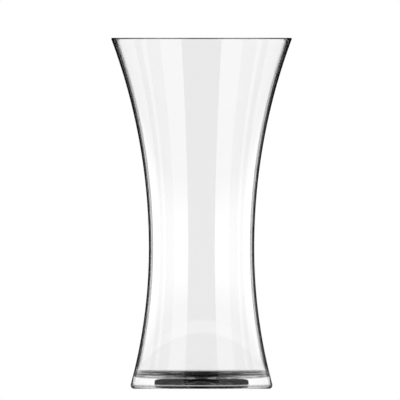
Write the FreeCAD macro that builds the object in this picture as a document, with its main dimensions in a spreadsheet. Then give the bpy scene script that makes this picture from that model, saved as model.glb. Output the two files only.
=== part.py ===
import FreeCAD, Part
import math
import os
import Sketcher

# A waisted vase blown from one gather of clear glass.
# Frame: millimetres, +Z up along the axis of the vase.
# The origin is the centre of the circle that it stands on.

SIZES = [
    # name, value, what it is
    ("height", 203.0, "from the table to the top of the lip"),
    ("rim_diameter", 105.1, "outside, where the side would meet the top with no rounding"),
    ("waist_diameter", 61.0, "outside, at the narrowest place"),
    ("waist_height", 81.6, "of the narrowest place above the table"),
    ("base_diameter", 83.5, "outside, where the side would meet the table with no rounding"),
    ("wall", 1.0, "thickness of the blown wall at the waist"),
    ("lip_wall", 1.35, "thickness of the wall at the lip, measured level"),
    ("base_wall", 1.0, "thickness that the wall would reach at the table, measured level"),
    ("base_glass", 6.6, "from the table to the flat inner floor"),
    ("inner_corner", 3.0, "rounding between the inner floor and the wall"),
    ("foot_corner", 2.1, "rounding between the side and the foot"),
    ("lip_round_share", 0.42, "rounding of each side of the lip, as a share of its wall"),
    ("foot_ring", 27.5, "width of the flat ring that it stands on, before its edges are rounded"),
    ("punt_depth", 2.0, "depth of the hollow inside that ring, at its middle"),
    ("punt_edge", 0.4, "rounding between the hollow and the ring"),
    ("overrun", 5.0, "how far a cutting outline runs past the glass"),
]

FULL_TURN = 360

# Places nearer to each other than this, in millimetres, are the same place.
TOUCH = 1e-4

# How an outline names its origin, its level and upright axes, and places on an edge.
ORIGIN = -1
LEVEL = -1
UPRIGHT = -2
START = 1
END = 2
CENTRE = 3


def make_sizes(doc):
    """Sheet of the driving sizes: name, value and meaning in each row."""
    sheet = doc.addObject("Spreadsheet::Sheet", "sizes")
    for row, (name, value, meaning) in enumerate(SIZES, start=1):
        sheet.set(f"A{row}", name)
        sheet.set(f"B{row}", str(value))
        sheet.set(f"C{row}", meaning)
        sheet.setAlias(f"B{row}", name)
    doc.recompute()
    return sheet


def upright_sketch(body, name):
    """Empty sketch in the upright XZ plane of the body."""
    plane = next(part for part in body.Origin.OriginFeatures if part.Role == "XZ_Plane")
    sketch = body.newObject("Sketcher::SketchObject", name)
    sketch.AttachmentSupport = [(plane, "")]
    sketch.MapMode = "FlatFace"
    return sketch


def point(across, up):
    """Point of an outline: its distance from the axis and its height."""
    return FreeCAD.Vector(across, up, 0)


def waist_curve(waist_radius, waist_height, end_radius, end_height):
    """Centre and radius of the curve that is upright at the waist and passes through its end."""
    rise = end_height - waist_height
    swell = end_radius - waist_radius
    radius = (rise ** 2 + swell ** 2) / (2 * swell)
    return point(waist_radius + radius, waist_height), radius


def left_arc(centre, radius, top, bottom):
    """Arc on the axis side of its centre, from one height down to another."""
    circle = Part.Circle(centre, FreeCAD.Vector(0, 0, 1), radius)
    first = math.pi - math.asin((top - centre.y) / radius)
    last = math.pi - math.asin((bottom - centre.y) / radius)
    return Part.ArcOfCircle(circle, first, last)


def join(sketch, first, first_end, second, second_end):
    """Makes two ends of the outline meet."""
    sketch.addConstraint(Sketcher.Constraint("Coincident", first, first_end, second, second_end))


def level(sketch, first, first_end, second, second_end):
    """Puts two points of the outline at one height."""
    sketch.addConstraint(Sketcher.Constraint("Horizontal", first, first_end, second, second_end))


def pass_through(sketch, curve, mark):
    """Leads a curve of the outline through a marked point."""
    sketch.addConstraint(Sketcher.Constraint("PointOnObject", mark, START, curve))


def size(sketch, kind, where, name, formula):
    """Adds a dimension that follows the sheet."""
    value = float(sketch.evalExpression(formula))
    index = sketch.addConstraint(Sketcher.Constraint(kind, *where, value))
    sketch.renameConstraint(index, name)
    sketch.setExpression(f"Constraints.{name}", formula)


def turned(body, kind, name, sketch):
    """Revolves an outline about the axis of the vase, as glass or as a hollow."""
    feature = body.newObject(kind, name)
    feature.Profile = sketch
    feature.ReferenceAxis = (sketch, ["V_Axis"])
    feature.Angle = FULL_TURN
    feature.Reversed = False
    sketch.Visibility = False
    body.Document.recompute()
    return feature


def check_hollow(feature):
    """A hollow has to take glass away."""
    removed = feature.BaseFeature.Shape.Volume - feature.Shape.Volume
    if removed <= 0:
        raise RuntimeError(f"{feature.Name} removes no glass")
    print(f"{feature.Name} removes {removed / 1000:.2f} cm3")


def rings_at(feature, up):
    """Names of the round edges at a height, from the smallest to the largest."""
    found = []
    for number, edge in enumerate(feature.Shape.Edges, start=1):
        place = edge.Vertexes[0].Point
        ring = edge.isClosed() and not edge.Degenerated
        if ring and abs(place.z - up) < TOUCH:
            found.append((math.hypot(place.x, place.y), f"Edge{number}"))
    return [name for radius, name in sorted(found)]


def rounding(body, name, base, edges, formula):
    """Rounds edges of the glass."""
    fillet = body.newObject("PartDesign::Fillet", name)
    fillet.Base = (base, edges)
    fillet.setExpression("Radius", formula)
    body.Document.recompute()
    return fillet


def outside_outline(body, sheet):
    """Solid hourglass: foot, lower curve, upper curve and top, closed along the axis."""
    base_radius = sheet.base_diameter / 2
    waist_radius = sheet.waist_diameter / 2
    rim_radius = sheet.rim_diameter / 2
    low_centre, low_radius = waist_curve(waist_radius, sheet.waist_height, base_radius, 0)
    high_centre, high_radius = waist_curve(waist_radius, sheet.waist_height, rim_radius, sheet.height)

    sketch = upright_sketch(body, "outside_outline")
    foot, low_side, high_side, top, axis = range(5)
    sketch.addGeometry([
        Part.LineSegment(point(0, 0), point(base_radius, 0)),
        left_arc(low_centre, low_radius, sheet.waist_height, 0),
        left_arc(high_centre, high_radius, sheet.height, sheet.waist_height),
        Part.LineSegment(point(rim_radius, sheet.height), point(0, sheet.height)),
        Part.LineSegment(point(0, sheet.height), point(0, 0)),
    ], False)
    join(sketch, foot, END, low_side, END)
    join(sketch, low_side, START, high_side, END)
    join(sketch, high_side, START, top, START)
    join(sketch, top, END, axis, START)
    join(sketch, axis, END, foot, START)
    join(sketch, foot, START, ORIGIN, START)
    sketch.addConstraint(Sketcher.Constraint("Horizontal", foot))
    sketch.addConstraint(Sketcher.Constraint("Horizontal", top))
    sketch.addConstraint(Sketcher.Constraint("Vertical", axis))
    level(sketch, low_side, START, low_side, CENTRE)
    level(sketch, high_side, END, high_side, CENTRE)
    size(sketch, "DistanceX", (ORIGIN, START, foot, END), "base_radius", "sizes.base_diameter / 2")
    size(sketch, "DistanceX", (ORIGIN, START, low_side, START), "waist_radius", "sizes.waist_diameter / 2")
    size(sketch, "DistanceY", (ORIGIN, START, low_side, START), "waist_height", "sizes.waist_height")
    size(sketch, "DistanceX", (ORIGIN, START, high_side, START), "rim_radius", "sizes.rim_diameter / 2")
    size(sketch, "DistanceY", (ORIGIN, START, high_side, START), "height", "sizes.height")
    body.Document.recompute()
    return sketch


def inside_outline(body, sheet):
    """Hollow of the vase. Its curves leave the wall a thickness of its own at the waist, lip and base."""
    waist_radius = sheet.waist_diameter / 2 - sheet.wall
    low_mark = point(sheet.base_diameter / 2 - sheet.base_wall, 0)
    high_mark = point(sheet.rim_diameter / 2 - sheet.lip_wall, sheet.height)
    low_centre, low_radius = waist_curve(waist_radius, sheet.waist_height, low_mark.x, low_mark.y)
    high_centre, high_radius = waist_curve(waist_radius, sheet.waist_height, high_mark.x, high_mark.y)
    floor = sheet.base_glass
    brim = sheet.height + sheet.overrun
    low_curve = left_arc(low_centre, low_radius, sheet.waist_height, floor)
    high_curve = left_arc(high_centre, high_radius, brim, sheet.waist_height)

    sketch = upright_sketch(body, "inside_outline")
    bottom, low_side, high_side, top, axis = range(5)
    sketch.addGeometry([
        Part.LineSegment(point(0, floor), low_curve.EndPoint),
        low_curve,
        high_curve,
        Part.LineSegment(high_curve.StartPoint, point(0, brim)),
        Part.LineSegment(point(0, brim), point(0, floor)),
    ], False)
    base_mark, lip_mark = sketch.addGeometry([Part.Point(low_mark), Part.Point(high_mark)], True)
    join(sketch, bottom, END, low_side, END)
    join(sketch, low_side, START, high_side, END)
    join(sketch, high_side, START, top, START)
    join(sketch, top, END, axis, START)
    join(sketch, axis, END, bottom, START)
    sketch.addConstraint(Sketcher.Constraint("Horizontal", bottom))
    sketch.addConstraint(Sketcher.Constraint("Horizontal", top))
    sketch.addConstraint(Sketcher.Constraint("PointOnObject", axis, START, UPRIGHT))
    sketch.addConstraint(Sketcher.Constraint("PointOnObject", axis, END, UPRIGHT))
    sketch.addConstraint(Sketcher.Constraint("PointOnObject", base_mark, START, LEVEL))
    pass_through(sketch, low_side, base_mark)
    pass_through(sketch, high_side, lip_mark)
    level(sketch, low_side, START, low_side, CENTRE)
    level(sketch, high_side, END, high_side, CENTRE)
    size(sketch, "DistanceY", (ORIGIN, START, bottom, START), "floor_height", "sizes.base_glass")
    size(sketch, "DistanceY", (ORIGIN, START, low_side, START), "waist_height", "sizes.waist_height")
    size(sketch, "DistanceX", (ORIGIN, START, low_side, START), "waist_radius",
         "sizes.waist_diameter / 2 - sizes.wall")
    size(sketch, "DistanceX", (ORIGIN, START, base_mark, START), "base_radius",
         "sizes.base_diameter / 2 - sizes.base_wall")
    size(sketch, "DistanceX", (ORIGIN, START, lip_mark, START), "lip_radius",
         "sizes.rim_diameter / 2 - sizes.lip_wall")
    size(sketch, "DistanceY", (ORIGIN, START, lip_mark, START), "lip_height", "sizes.height")
    size(sketch, "DistanceY", (ORIGIN, START, top, START), "brim_height", "sizes.height + sizes.overrun")
    body.Document.recompute()
    return sketch


def punt_outline(body, sheet):
    """Shallow dome under the base, so that the vase stands on a ring."""
    half = sheet.base_diameter / 2 - sheet.foot_ring
    depth = sheet.punt_depth
    below = -sheet.overrun
    radius = (half ** 2 + depth ** 2) / (2 * depth)
    circle = Part.Circle(point(0, depth - radius), FreeCAD.Vector(0, 0, 1), radius)
    edge_angle = math.asin((radius - depth) / radius)

    sketch = upright_sketch(body, "punt_outline")
    dome, side, bottom, axis = range(4)
    sketch.addGeometry([
        Part.ArcOfCircle(circle, edge_angle, math.pi / 2),
        Part.LineSegment(point(half, 0), point(half, below)),
        Part.LineSegment(point(half, below), point(0, below)),
        Part.LineSegment(point(0, below), point(0, depth)),
    ], False)
    join(sketch, dome, START, side, START)
    join(sketch, side, END, bottom, START)
    join(sketch, bottom, END, axis, START)
    join(sketch, axis, END, dome, END)
    sketch.addConstraint(Sketcher.Constraint("Vertical", side))
    sketch.addConstraint(Sketcher.Constraint("Horizontal", bottom))
    sketch.addConstraint(Sketcher.Constraint("PointOnObject", axis, START, UPRIGHT))
    sketch.addConstraint(Sketcher.Constraint("PointOnObject", axis, END, UPRIGHT))
    sketch.addConstraint(Sketcher.Constraint("PointOnObject", dome, CENTRE, UPRIGHT))
    sketch.addConstraint(Sketcher.Constraint("PointOnObject", dome, START, ORIGIN))
    size(sketch, "DistanceX", (ORIGIN, START, side, START), "punt_radius",
         "sizes.base_diameter / 2 - sizes.foot_ring")
    size(sketch, "DistanceY", (ORIGIN, START, axis, END), "punt_depth", "sizes.punt_depth")
    size(sketch, "DistanceY", (side, END, ORIGIN, START), "overrun", "sizes.overrun")
    body.Document.recompute()
    return sketch


def make_vase(doc, sheet):
    """The whole vase, one piece of glass."""
    body = doc.addObject("PartDesign::Body", "glass_vase")
    body.Label = "glass_vase"
    body.Placement = FreeCAD.Placement()

    glass = turned(body, "PartDesign::Revolution", "glass_form", outside_outline(body, sheet))

    hollow = turned(body, "PartDesign::Groove", "hollow", inside_outline(body, sheet))
    check_hollow(hollow)

    punt = turned(body, "PartDesign::Groove", "punt", punt_outline(body, sheet))
    check_hollow(punt)

    foot_round = rounding(body, "foot_round", punt, rings_at(punt, 0)[-1:], "sizes.foot_corner")
    punt_round = rounding(body, "punt_round", foot_round, rings_at(foot_round, 0)[:1], "sizes.punt_edge")
    floor_rings = rings_at(punt_round, sheet.base_glass)
    floor_round = rounding(body, "floor_round", punt_round, floor_rings, "sizes.inner_corner")
    lip_rings = rings_at(floor_round, sheet.height)
    lip_round = rounding(body, "lip_round", floor_round, lip_rings, "sizes.lip_round_share * sizes.lip_wall")

    print(f"solid form {glass.Shape.Volume / 1000:.1f} cm3")
    body.Tip = lip_round
    return body


def check_document(doc):
    """Every object has to be sound, and every outline settled by its dimensions."""
    for item in doc.Objects:
        if "Invalid" in item.State or "Error" in item.State:
            raise RuntimeError(f"{item.Name} is in state {item.State}")
        if item.isDerivedFrom("Sketcher::SketchObject") and not item.FullyConstrained:
            raise RuntimeError(f"{item.Name} is not fully constrained")


def write_piece(piece):
    """Checks the shape of a piece and writes it under its own label."""
    shape = piece.Shape
    if shape.isNull() or not shape.isValid():
        raise RuntimeError(f"{piece.Label} has no valid shape")
    shape.exportStep(os.path.join("parts", f"{piece.Label}.step"))
    box = shape.optimalBoundingBox()
    print(f"{piece.Label}: {len(shape.Solids)} solid, {shape.Volume / 1000:.2f} cm3, "
          f"{box.XLength:.2f} x {box.YLength:.2f} x {box.ZLength:.2f} mm")


def main():
    doc = FreeCAD.newDocument("hyacinth_vase")
    sheet = make_sizes(doc)
    vase = make_vase(doc, sheet)
    doc.recompute()
    check_document(doc)
    os.makedirs("parts", exist_ok=True)
    write_piece(vase)


main()
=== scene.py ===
import bpy
import math

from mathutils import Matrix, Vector


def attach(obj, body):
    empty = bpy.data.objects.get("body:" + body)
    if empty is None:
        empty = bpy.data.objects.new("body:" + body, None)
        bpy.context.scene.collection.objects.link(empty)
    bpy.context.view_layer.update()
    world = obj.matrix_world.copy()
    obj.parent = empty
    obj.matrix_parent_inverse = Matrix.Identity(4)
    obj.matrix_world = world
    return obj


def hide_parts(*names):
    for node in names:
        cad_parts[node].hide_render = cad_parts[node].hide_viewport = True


# A waisted vase of clear blown glass, on a white floor in a white studio. All lengths are in metres,
# in the frame of the model: +Z up along the vase's axis, the table under its foot at zero.

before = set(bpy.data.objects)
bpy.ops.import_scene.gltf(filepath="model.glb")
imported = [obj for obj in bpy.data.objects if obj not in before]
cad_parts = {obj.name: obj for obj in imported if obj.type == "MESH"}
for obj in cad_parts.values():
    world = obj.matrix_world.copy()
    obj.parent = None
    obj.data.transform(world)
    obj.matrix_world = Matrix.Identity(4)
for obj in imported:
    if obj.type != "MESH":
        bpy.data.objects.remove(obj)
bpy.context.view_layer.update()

MM = 0.001
DEGREES = math.degrees(1)
WHITE = (1.0, 1.0, 1.0, 1.0)

# Outside of the glass: its side is two arcs that are upright where they meet, at the waist.
HEIGHT = 203.0 * MM
RIM_RADIUS = 52.55 * MM
WAIST_RADIUS = 30.515 * MM
WAIST_HEIGHT = 81.6 * MM
BASE_RADIUS = 41.681 * MM

# Thickness of the glass: its wall at the waist, at the lip and at the table, and its solid base.
WALL = 0.78 * MM
LIP_WALL = 1.281 * MM
BASE_WALL = 0.8952 * MM
BASE_GLASS = 6.85 * MM

# Bow of the inner floor, and the rounding of the corners, the lip's as a share of its wall.
FLOOR_CROWN = 0.1 * MM
INNER_CORNER = 3.051 * MM
FOOT_CORNER = 2.054 * MM
LIP_ROUND_SHARE = 0.47

# Punt, the shallow hollow underneath.
PUNT_RADIUS = 12.6 * MM
PUNT_DEPTH = 1.04 * MM
PUNT_EDGE = 0.15 * MM

# Steps of the mesh: round the axis, up each side, out across the base and round each corner.
AROUND = 256
SIDE_STEPS = 90
BASE_STEPS = 14
CORNER_STEPS = 9

# Clear glass, with faint waves from its blowing that are drawn out along the axis.
GLASS_IOR = 1.52
WAVE_SCALE = 55.0
WAVE_STRETCH = 0.35
WAVE_DETAIL = 1.0
WAVE_HEIGHT = 0.012 * MM

# Fine scuffs where the foot has stood on tables: how far out and how high they lie, and their grains.
SCUFF_INNER = 36.0 * MM
SCUFF_INNER_SOFT = 1.0 * MM
SCUFF_TOP = 0.12 * MM
SCUFF_TOP_SOFT = 0.06 * MM
SCUFF_SCALE = 900.0
SCUFF_DETAIL = 3.0
SCUFF_LEVEL = 0.55
SCUFF_LEVEL_SOFT = 0.06
SCUFF_ROUGHNESS = 0.16

# The floor lies a hair below the foot.
FLOOR_RADIUS = 3000.0 * MM
FLOOR_DROP = 0.05 * MM
FLOOR_COLOUR = (0.98, 0.98, 0.98, 1.0)

# What the glass shows of the floor: a round plinth that glows evenly, with painted shade round the foot.
PLINTH_RADIUS = 106.69 * MM
PLINTH_SOFT = 10.0 * MM
PLINTH_LIGHT = 0.8

# The painted shade is wide for rays through the base or one wall, and narrow for rays through both walls.
WIDE_PAINTED_SHADE_RADIUS = 58.468 * MM
WIDE_PAINTED_SHADE_SOFT = 6.0 * MM
NARROW_PAINTED_SHADE_RADIUS = 42.0 * MM
NARROW_PAINTED_SHADE_SOFT = 1.0 * MM

# A ray is bent twice by the base or by one wall, and four times by both walls.
BOTH_WALLS = 2.5

# A ray through both walls that was never mirrored has gone straight through.
MIRRORED = 0.5
COUNT_SOFT = 0.1

# Where the parts of the studio meet, in degrees to either side of the backdrop's middle.
BACKDROP_EDGE = 5.2
FLAG_FOLD = 9.123
SOFT_BOX_EDGE = 36.0
CAMERA_SIDE_EDGE = 150.11
STUDIO_SOFT = 0.3416

# Rays through the base or one wall meet the soft boxes this much nearer, with two dark strips on each.
BASE_SHIFT = 4.5
NEAR_STRIP = (74.0, 86.0)
FAR_STRIP = (94.0, 117.0)

# What is lit of the backdrop and of the soft boxes with their tubes, in degrees above level.
BACKDROP_BOTTOM = -7.949
BACKDROP_TOP = 0.9
SOFT_BOX_TOP = 39.194
TUBES_BOTTOM = -9.0
TUBES_TOP = 8.0
TUBES_SOFT = 5.0

# How bright they are, where 1 is white.
PLAIN_WHITE = 1.0
BACKDROP_LIGHT = 0.9636
INNER_FLAG_LIGHT = 0.0
OUTER_FLAG_LIGHT = 0.008
SOFT_BOX_LIGHT = 0.68
TUBES_LIGHT = 1.4
CAMERA_SIDE_LIGHT = 0.06717
UNLIT = 0.045

# Rays through the base or one wall meet no backdrop, and even soft boxes this bright.
BASE_LIGHT = 1.05

# Rays straight through the vase meet this even pale light beside the flags.
SEEN_THROUGH = 0.85

# Light of the whole room on the floor.
ROOM_LIGHT = 1.05

# Camera, level with the middle of the vase, without perspective, as a very long lens sees it.
CAMERA_DISTANCE = 5.0
CAMERA_SIDE = -0.89 * MM
CAMERA_HEIGHT = 109.2 * MM
PICTURE_WIDTH = 231.36 * MM

LIGHT_BOUNCES = 32


class Value:
    """One output of a node. Sums with it add the Math nodes that work them out."""

    def __init__(self, tree, socket):
        self.tree = tree
        self.socket = socket

    def also(self, output):
        """Another output of the same node."""
        return Value(self.tree, self.socket.node.outputs[output])

    def math(self, operation, *values):
        """A Math node with these values, whether or not this one is among them."""
        return node(self.tree, "ShaderNodeMath", {"operation": operation}, dict(enumerate(values)))

    def __add__(self, other):
        return self.math("ADD", self, other)

    def __radd__(self, other):
        return self.math("ADD", other, self)

    def __sub__(self, other):
        return self.math("SUBTRACT", self, other)

    def __rsub__(self, other):
        return self.math("SUBTRACT", other, self)

    def __mul__(self, other):
        return self.math("MULTIPLY", self, other)

    def __rmul__(self, other):
        return self.math("MULTIPLY", other, self)


def node(tree, kind, settings=None, values=None, output=0):
    """Adds a node: its settings first, then the value or link of each socket. Gives one output, if any."""
    made = tree.nodes.new(kind)
    for name, setting in (settings or {}).items():
        setattr(made, name, setting)
    for name, value in (values or {}).items():
        if isinstance(value, Value):
            tree.links.new(value.socket, made.inputs[name])
        else:
            made.inputs[name].default_value = value
    return None if output is None else Value(tree, made.outputs[output])


def past(value, place, soft):
    """0 short of the place and 1 past it, with a soft change between."""
    return node(value.tree, "ShaderNodeMapRange", {"interpolation_type": "SMOOTHSTEP"},
                {"Value": value, "From Min": place - soft, "From Max": place + soft})


def band(value, low, high, soft):
    """1 between two places and 0 outside them."""
    return past(value, low, soft) * (1 - past(value, high, soft))


def between(low, high, amount):
    """low where the amount is 0, high where it is 1."""
    return low * (1 - amount) + high * amount


def side_radius(height, waist_radius, lip_radius, base_radius):
    """Radius at a height of a side with these radii at the waist, at the lip and at the table."""
    end_radius, end_height = (lip_radius, HEIGHT) if height > WAIST_HEIGHT else (base_radius, 0.0)
    swell = end_radius - waist_radius
    bend = ((end_height - WAIST_HEIGHT) ** 2 + swell ** 2) / (2 * swell)
    return waist_radius + bend - math.sqrt(bend ** 2 - (height - WAIST_HEIGHT) ** 2)


def side(radii, bottom):
    """Points of a side, from a height up to the lip."""
    heights = [bottom + (HEIGHT - bottom) * step / SIDE_STEPS for step in range(SIDE_STEPS + 1)]
    return [Vector((side_radius(height, *radii), height)) for height in heights]


def punt(radius, depth):
    """The shallow hollow under the base, from its middle out to its edge."""
    ball = (radius ** 2 + depth ** 2) / (2 * depth)
    outs = [radius * step / BASE_STEPS for step in range(BASE_STEPS + 1)]
    return [Vector((out, depth - ball + math.sqrt(ball ** 2 - out ** 2))) for out in outs]


def inner_floor(radius):
    """The floor inside, barely crowned, from just within its edge to its middle."""
    shares = [1 - step / BASE_STEPS for step in range(1, BASE_STEPS + 1)]
    return [Vector((radius * share, BASE_GLASS + FLOOR_CROWN * (1 - share ** 2))) for share in shares]


def rounded(outline, corner, radius):
    """The outline with its point nearest to a corner rounded."""
    nearest = min(range(len(outline)), key=lambda index: (outline[index] - corner).length)
    here = outline[nearest]
    before = (outline[nearest - 1] - here).normalized()
    after = (outline[nearest + 1] - here).normalized()
    half_angle = before.angle(after) / 2
    reach = radius / math.tan(half_angle)
    middle = here + (before + after).normalized() * radius / math.sin(half_angle)
    first = here + before * reach - middle
    last = here + after * reach - middle
    sweep = first.angle(last)
    arc = []
    for step in range(CORNER_STEPS + 1):
        turn = sweep * step / CORNER_STEPS
        arc.append(middle + (first * math.sin(sweep - turn) + last * math.sin(turn)) / math.sin(sweep))
    ahead = [point for point in outline[:nearest] if (point - here).length > reach]
    behind = [point for point in outline[nearest + 1:] if (point - here).length > reach]
    return ahead + arc + behind


def vase_outline():
    """Section of the glass, from the middle of the hollow underneath, round the lip, to the inner floor."""
    outside = side((WAIST_RADIUS, RIM_RADIUS, BASE_RADIUS), 0.0)
    inside = side((WAIST_RADIUS - WALL, RIM_RADIUS - LIP_WALL, BASE_RADIUS - BASE_WALL), BASE_GLASS)
    inside.reverse()
    floor_edge = inside[-1]
    outline = punt(PUNT_RADIUS, PUNT_DEPTH) + outside + inside + inner_floor(floor_edge.x)
    lip_round = LIP_ROUND_SHARE * LIP_WALL
    corners = ((PUNT_RADIUS, 0.0, PUNT_EDGE), (BASE_RADIUS, 0.0, FOOT_CORNER),
               (floor_edge.x, BASE_GLASS, INNER_CORNER),
               (RIM_RADIUS, HEIGHT, lip_round), (RIM_RADIUS - LIP_WALL, HEIGHT, lip_round))
    for across, up, radius in corners:
        outline = rounded(outline, Vector((across, up)), radius)
    return outline


def turned(name, outline):
    """Turns a section that starts and ends on the axis into a closed mesh."""
    turns = [2 * math.pi * step / AROUND for step in range(AROUND)]
    first, *rings, last = outline
    points = [(0.0, 0.0, first.y)]
    for ring in rings:
        points += [(ring.x * math.cos(turn), ring.x * math.sin(turn), ring.y) for turn in turns]
    points.append((0.0, 0.0, last.y))
    top = len(points) - 1
    faces = []
    for step in range(AROUND):
        beside = (step + 1) % AROUND
        faces.append((0, 1 + beside, 1 + step))
        for ring in range(len(rings) - 1):
            low = 1 + ring * AROUND
            high = low + AROUND
            faces.append((low + step, low + beside, high + beside, high + step))
        faces.append((top, top - AROUND + step, top - AROUND + beside))
    mesh = bpy.data.meshes.new(name)
    mesh.from_pydata(points, [], faces)
    mesh.polygons.foreach_set("use_smooth", [True] * len(mesh.polygons))
    return mesh


def clear_glass():
    """Clear colourless glass, fire-polished, with the waves of its blowing and scuffs under its foot."""
    material = bpy.data.materials.new("clear_glass")
    material.use_nodes = True
    tree = material.node_tree
    shader = tree.nodes["Principled BSDF"]
    shader.inputs["Base Color"].default_value = WHITE
    shader.inputs["IOR"].default_value = GLASS_IOR
    shader.inputs["Transmission Weight"].default_value = 1.0

    place = node(tree, "ShaderNodeTexCoord", output="Object")
    drawn = node(tree, "ShaderNodeVectorMath", {"operation": "MULTIPLY"},
                 {0: place, 1: (1.0, 1.0, WAVE_STRETCH)})
    waves = node(tree, "ShaderNodeTexNoise",
                 values={"Vector": drawn, "Scale": WAVE_SCALE, "Detail": WAVE_DETAIL})
    polished = node(tree, "ShaderNodeBump", values={"Height": waves, "Distance": WAVE_HEIGHT})

    across = node(tree, "ShaderNodeSeparateXYZ", values={0: place})
    height = across.also("Z")
    out = across.math("SQRT", across * across + across.also("Y") * across.also("Y"))
    under = past(out, SCUFF_INNER, SCUFF_INNER_SOFT) * (1 - past(height, SCUFF_TOP, SCUFF_TOP_SOFT))
    grains = node(tree, "ShaderNodeTexNoise",
                  values={"Vector": place, "Scale": SCUFF_SCALE, "Detail": SCUFF_DETAIL})
    scuffs = under * past(grains, SCUFF_LEVEL, SCUFF_LEVEL_SOFT) * SCUFF_ROUGHNESS

    tree.links.new(polished.socket, shader.inputs["Normal"])
    tree.links.new(scuffs.socket, shader.inputs["Roughness"])
    return material


def make_vase():
    """The whole vase, in one piece, where the solid one stands."""
    mesh = turned("glass_vase_blown", vase_outline())
    mesh.materials.append(clear_glass())
    vase = bpy.data.objects.new("glass_vase_blown", mesh)
    bpy.context.scene.collection.objects.link(vase)
    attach(vase, "root")
    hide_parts("glass_vase")


def through_both_walls(ray):
    """1 for a ray that has crossed both walls of the vase, and 0 for one that hasn't."""
    return past(ray.also("Transmission Depth"), BOTH_WALLS, COUNT_SOFT)


def studio_light(tree):
    """How bright the studio is in each direction.

    A lit backdrop stands between black flags that fold, with soft boxes beside them and a dark room behind
    the camera.
    """
    direction = node(tree, "ShaderNodeTexCoord", output="Generated")
    across = node(tree, "ShaderNodeSeparateXYZ", values={0: direction})
    up = across.also("Z")
    bearing = across.math("ARCTAN2", across.math("ABSOLUTE", across), across.also("Y")) * DEGREES
    rise = up.math("ARCSINE", up) * DEGREES

    refracted = node(tree, "ShaderNodeLightPath", output="Is Transmission Ray")
    both_walls = through_both_walls(refracted)
    one_wall = refracted * (1 - both_walls)
    straight = both_walls * (1 - past(refracted.also("Glossy Depth"), MIRRORED, COUNT_SOFT))

    backdrop = between(UNLIT, BACKDROP_LIGHT, band(rise, BACKDROP_BOTTOM, BACKDROP_TOP, STUDIO_SOFT))
    backdrop = between(backdrop, INNER_FLAG_LIGHT, one_wall)
    flags = between(INNER_FLAG_LIGHT, OUTER_FLAG_LIGHT, past(bearing, FLAG_FOLD, STUDIO_SOFT))

    soft_box = between(SOFT_BOX_LIGHT, TUBES_LIGHT, band(rise, TUBES_BOTTOM, TUBES_TOP, TUBES_SOFT))
    soft_box = between(soft_box, UNLIT, past(rise, SOFT_BOX_TOP, STUDIO_SOFT))
    strips = band(bearing, *NEAR_STRIP, STUDIO_SOFT) + band(bearing, *FAR_STRIP, STUDIO_SOFT)
    soft_box = between(between(soft_box, BASE_LIGHT, one_wall), OUTER_FLAG_LIGHT, strips * one_wall)
    beside = past(bearing + BASE_SHIFT * one_wall, SOFT_BOX_EDGE, STUDIO_SOFT)

    light = between(backdrop, flags, past(bearing, BACKDROP_EDGE, STUDIO_SOFT))
    light = between(light, soft_box, beside)
    light = between(light, CAMERA_SIDE_LIGHT, past(bearing, CAMERA_SIDE_EDGE, STUDIO_SOFT))
    return between(light, SEEN_THROUGH, straight * beside)


def make_studio():
    """The studio is what the glass shows. Beside the glass the camera sees plain white."""
    world = bpy.data.worlds.new("studio")
    bpy.context.scene.world = world
    world.use_nodes = True
    world.cycles.sampling_method = "NONE"
    tree = world.node_tree
    tree.nodes.clear()
    camera_ray = node(tree, "ShaderNodeLightPath", output="Is Camera Ray")
    light = between(studio_light(tree), ROOM_LIGHT, camera_ray.also("Is Diffuse Ray"))
    light = between(light, PLAIN_WHITE, camera_ray)
    shown = node(tree, "ShaderNodeBackground", values={"Color": WHITE, "Strength": light})
    node(tree, "ShaderNodeOutputWorld", values={"Surface": shown}, output=None)


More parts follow.
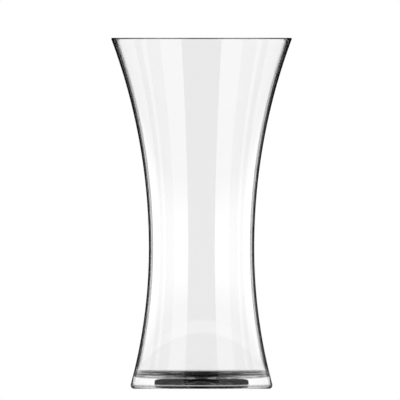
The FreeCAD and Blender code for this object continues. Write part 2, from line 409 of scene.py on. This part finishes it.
def floor_finish():
    """Matt white to the camera. The glass shows a glowing plinth with painted shade round the foot, and
    past its edge the studio below.
    """
    material = bpy.data.materials.new("white_floor")
    material.use_nodes = True
    tree = material.node_tree
    tree.nodes.clear()
    place = node(tree, "ShaderNodeNewGeometry", output="Position")
    out = node(tree, "ShaderNodeVectorMath", {"operation": "LENGTH"}, {0: place}, output="Value")
    camera_ray = node(tree, "ShaderNodeLightPath", output="Is Camera Ray")
    # Painted shade: the plinth's glow is dimmed to dark round the foot, standing in for the shade there.
    past_wide_painted_shade = past(out, WIDE_PAINTED_SHADE_RADIUS, WIDE_PAINTED_SHADE_SOFT)
    past_narrow_painted_shade = past(out, NARROW_PAINTED_SHADE_RADIUS, NARROW_PAINTED_SHADE_SOFT)
    lit = between(past_wide_painted_shade, past_narrow_painted_shade, through_both_walls(camera_ray))
    past_plinth = past(out, PLINTH_RADIUS, PLINTH_SOFT)

    plinth = node(tree, "ShaderNodeEmission", values={"Color": WHITE, "Strength": PLINTH_LIGHT * lit})
    clear = node(tree, "ShaderNodeBsdfTransparent")
    matt = node(tree, "ShaderNodeBsdfDiffuse", values={"Color": FLOOR_COLOUR})
    seen_in_glass = node(tree, "ShaderNodeMixShader", values={0: past_plinth, 1: plinth, 2: clear})
    shown = node(tree, "ShaderNodeMixShader", values={0: camera_ray, 1: seen_in_glass, 2: matt})
    node(tree, "ShaderNodeOutputMaterial", values={"Surface": shown}, output=None)
    return material


def make_floor():
    """White floor that keeps the shadow of the glass."""
    bpy.ops.mesh.primitive_circle_add(vertices=AROUND, radius=FLOOR_RADIUS, fill_type="NGON",
                                      location=(0.0, 0.0, -FLOOR_DROP))
    floor = bpy.context.object
    floor.name = "floor"
    floor.data.materials.append(floor_finish())


def make_camera():
    """In front of the vase, level with its middle."""
    camera = bpy.data.cameras.new("camera")
    camera.type = "ORTHO"
    camera.ortho_scale = PICTURE_WIDTH
    holder = bpy.data.objects.new("camera", camera)
    holder.location = (CAMERA_SIDE, -CAMERA_DISTANCE, CAMERA_HEIGHT)
    holder.rotation_euler = (math.pi / 2, 0.0, 0.0)
    bpy.context.scene.collection.objects.link(holder)
    bpy.context.scene.camera = holder


scene = bpy.context.scene
scene.view_settings.view_transform = "Standard"
scene.cycles.max_bounces = LIGHT_BOUNCES
scene.cycles.transmission_bounces = LIGHT_BOUNCES
scene.cycles.glossy_bounces = LIGHT_BOUNCES

make_vase()
make_studio()
make_floor()
make_camera()
